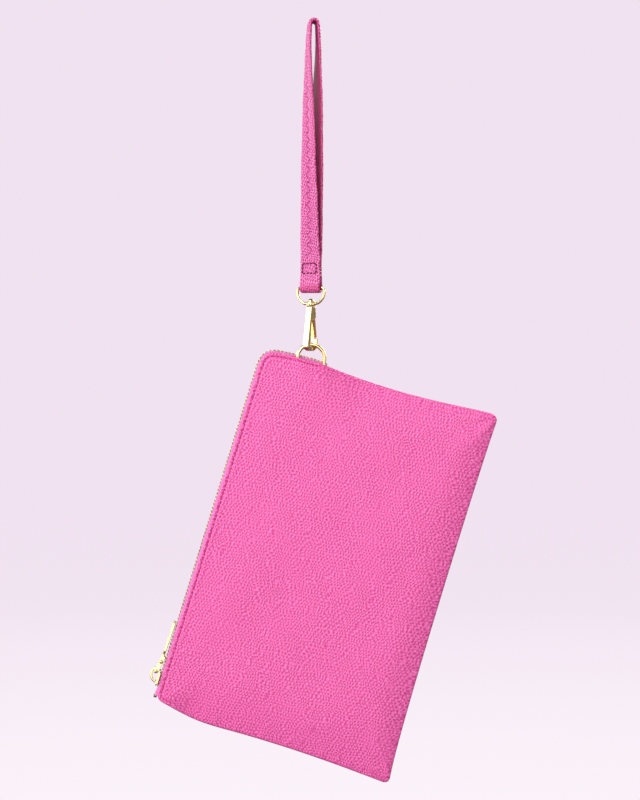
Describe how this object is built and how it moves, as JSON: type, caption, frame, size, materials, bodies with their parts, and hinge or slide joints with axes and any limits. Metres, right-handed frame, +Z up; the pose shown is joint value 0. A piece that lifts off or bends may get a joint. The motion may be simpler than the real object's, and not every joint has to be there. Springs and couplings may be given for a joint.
{
  "type": "wristlet wallet",
  "caption": "Flat leather wristlet pouch with a zip round its edge, hung from a wrist strap by a swivel clasp and D-ring.",
  "frame": {"origin": "inside of the wrist strap loop's top, where a wrist or a peg carries the wallet", "axes": "+Z up along the hanging strap, +Y towards the back panel, +X to the right seen from the front"},
  "size_m": [0.2313, 0.0167, 0.5091],
  "materials": {
    "panel_leather": "pebbled, satin",
    "strap_leather": "pebbled, satin",
    "lining": "woven",
    "zip_tape": "herringbone tape",
    "gold_hardware": "polished pale gold plate",
    "zip_metal": "satin"
  },
  "bodies": {
    "strap": {"strap": "strap_leather"},
    "clasp_ring": {"clasp_ring": "gold_hardware"},
    "hook": {"hook_body": "gold_hardware", "swivel_rivet": "gold_hardware", "gate_pin": "gold_hardware", "gate_spring": "zip_metal"},
    "gate": {"gate": "gold_hardware"},
    "pouch_ring": {"pouch_ring": "gold_hardware"},
    "pouch": {"front_panel": "panel_leather", "back_panel": "panel_leather", "lining_front": "lining", "lining_back": "lining", "ring_tab": "panel_leather", "zip_tape_front": "zip_tape", "zip_tape_back": "zip_tape", "zip_teeth_front": "zip_metal", "zip_teeth_back": "zip_metal", "zip_top_stop_front": "zip_metal", "zip_top_stop_back": "zip_metal", "zip_bottom_stop": "zip_metal"},
    "slider": {"slider_body": "gold_hardware", "slider_bridge": "gold_hardware"},
    "pull_connector": {"connector_plate_front": "gold_hardware", "connector_plate_back": "gold_hardware", "connector_pin_lower": "gold_hardware", "connector_pin_upper": "gold_hardware"},
    "pull_bar": {"pull_bar": "gold_hardware"}
  },
  "joints": [
    {"name": "clasp_ring_swing", "type": "hinge", "parent": "strap", "child": "clasp_ring", "pos_m": [-0.00173, 0, -0.177], "axis": [0.9135, -0.4067, 0], "range_deg": [-60, 60]},
    {"name": "clasp_swivel", "type": "hinge", "parent": "clasp_ring", "child": "hook", "pos_m": [-0.00173, 0, -0.1877], "axis": [0, 0, 1], "continuous": true},
    {"name": "gate_open", "type": "hinge", "parent": "hook", "child": "gate", "pos_m": [-0.00105, 0.00087, -0.1938], "axis": [-0.788, 0.6157, 0], "range_deg": [0, 15], "stiffness_Nm_per_rad": 0.02, "springref_deg": -17.19},
    {"name": "pouch_ring_swing", "type": "hinge", "parent": "hook", "child": "pouch_ring", "pos_m": [-0.00173, 0, -0.2237], "axis": [0, 1, 0], "range_deg": [-20, 20]},
    {"name": "ring_tab_hinge", "type": "hinge", "parent": "pouch_ring", "child": "pouch", "pos_m": [-0.0027, 0, -0.23164], "axis": [0.9925, 0, -0.1219], "range_deg": [-8, 5]},
    {"name": "zip_slide", "type": "slide", "parent": "pouch", "child": "slider", "axis": [0.2957, 0, 0.9553], "range_m": [0, 0.205]},
    {"name": "pull_hinge", "type": "hinge", "parent": "slider", "child": "pull_connector", "pos_m": [-0.10506, 0.0029, -0.43233], "axis": [0, -1, 0], "range_deg": [0, 120]},
    {"name": "pull_bar_hinge", "type": "hinge", "parent": "pull_connector", "child": "pull_bar", "pos_m": [-0.10171, 0.0029, -0.42625], "axis": [0, -1, 0], "range_deg": [0, 60]}
  ]
}
